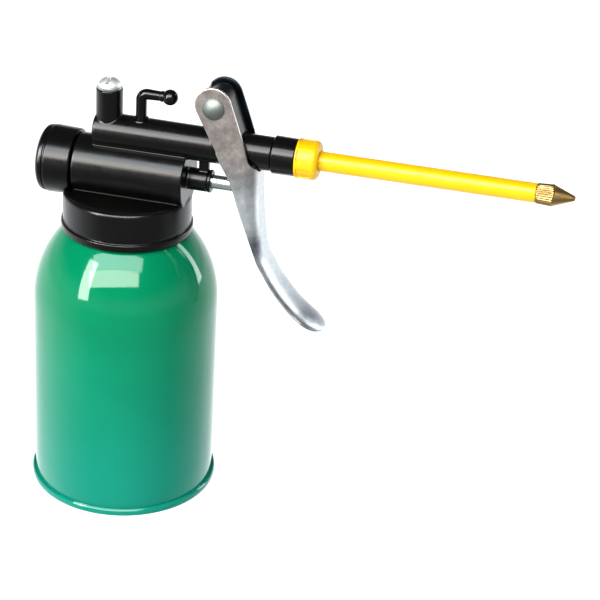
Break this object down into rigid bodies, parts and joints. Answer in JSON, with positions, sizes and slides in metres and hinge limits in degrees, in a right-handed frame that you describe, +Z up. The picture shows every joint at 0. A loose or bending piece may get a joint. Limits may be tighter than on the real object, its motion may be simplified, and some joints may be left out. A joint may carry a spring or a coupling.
{
  "type": "lever oil can",
  "caption": "Hand-pumped lever oil can: round green steel can, black pump head, steel squeeze lever, long yellow spout with a brass nozzle.",
  "frame": {"origin": "centre of the can's flat underside", "axes": "+Z up along the can's axis; +X along the spout towards the nozzle; +Y across the can, away from the near side"},
  "size_m": [0.1856, 0.0672, 0.1572],
  "materials": {
    "green_enamel": "glossy enamel",
    "black_enamel": "satin black paint on a die casting",
    "bright_steel": "polished",
    "brushed_steel": "plated and lightly brushed",
    "spring_steel": "drawn wire",
    "yellow_plastic": "smooth moulded",
    "black_plastic": "smooth moulded",
    "nozzle_brass": "turned and knurled",
    "valve_brass": "turned",
    "seal_rubber": "matt",
    "clear_nylon": "translucent white tube"
  },
  "bodies": {
    "reservoir": {"can_shell": "green_enamel", "can_base": "green_enamel"},
    "head": {"pump_head": "black_enamel", "head_gasket": "seal_rubber", "rear_cap": "black_plastic", "rear_cap_seal": "seal_rubber", "return_spring": "spring_steel", "rod_seal": "seal_rubber", "gland_bush": "black_plastic", "suction_tube": "clear_nylon", "strainer": "valve_brass", "inlet_seat": "valve_brass", "outlet_spring": "spring_steel", "valve_screw": "bright_steel", "valve_washer": "brushed_steel", "key_seal": "seal_rubber", "key_gland": "brushed_steel", "pivot_rivet": "bright_steel", "rivet_washer": "brushed_steel", "front_sleeve": "black_plastic", "spout_seal": "seal_rubber", "spout_nut": "yellow_plastic", "spout_tube": "yellow_plastic", "nozzle": "nozzle_brass"},
    "plunger": {"piston_rod": "bright_steel", "piston": "valve_brass", "piston_seal": "seal_rubber", "piston_nut": "brushed_steel"},
    "lever": {"lever": "brushed_steel"},
    "key": {"shutoff_key": "black_plastic"},
    "inlet_ball": {"inlet_ball": "bright_steel"},
    "outlet_ball": {"outlet_ball": "bright_steel"}
  },
  "joints": [
    {"name": "head_lift", "type": "slide", "parent": "reservoir", "child": "head", "axis": [0, 0, 1], "range_m": [0, 0.11]},
    {"name": "lever_swing", "type": "hinge", "parent": "head", "child": "lever", "pos_m": [0.0315, 0, 0.15], "axis": [0, 1, 0], "range_deg": [0, 20], "stiffness_Nm_per_rad": 0.33, "springref_deg": -11.46},
    {"name": "plunger_slide", "type": "slide", "parent": "head", "child": "plunger", "axis": [-1, 0, 0], "range_m": [0, 0.0101], "deforming": ["return_spring"]},
    {"name": "key_turn", "type": "hinge", "parent": "head", "child": "key", "pos_m": [0.0044, 0, 0.14], "axis": [0, 0, 1], "range_deg": [0, 90]},
    {"name": "inlet_ball_lift", "type": "slide", "parent": "head", "child": "inlet_ball", "axis": [0, 0, 1], "range_m": [0, 0.0013]},
    {"name": "outlet_ball_lift", "type": "slide", "parent": "head", "child": "outlet_ball", "axis": [0, 0, 1], "range_m": [0, 0.001], "stiffness_N_per_m": 20, "springref_m": -0.002, "deforming": ["outlet_spring"]}
  ],
  "couplings": [
    {"joint": "plunger_slide", "follows": "lever_swing", "m_per_rad": 0.02883}
  ]
}
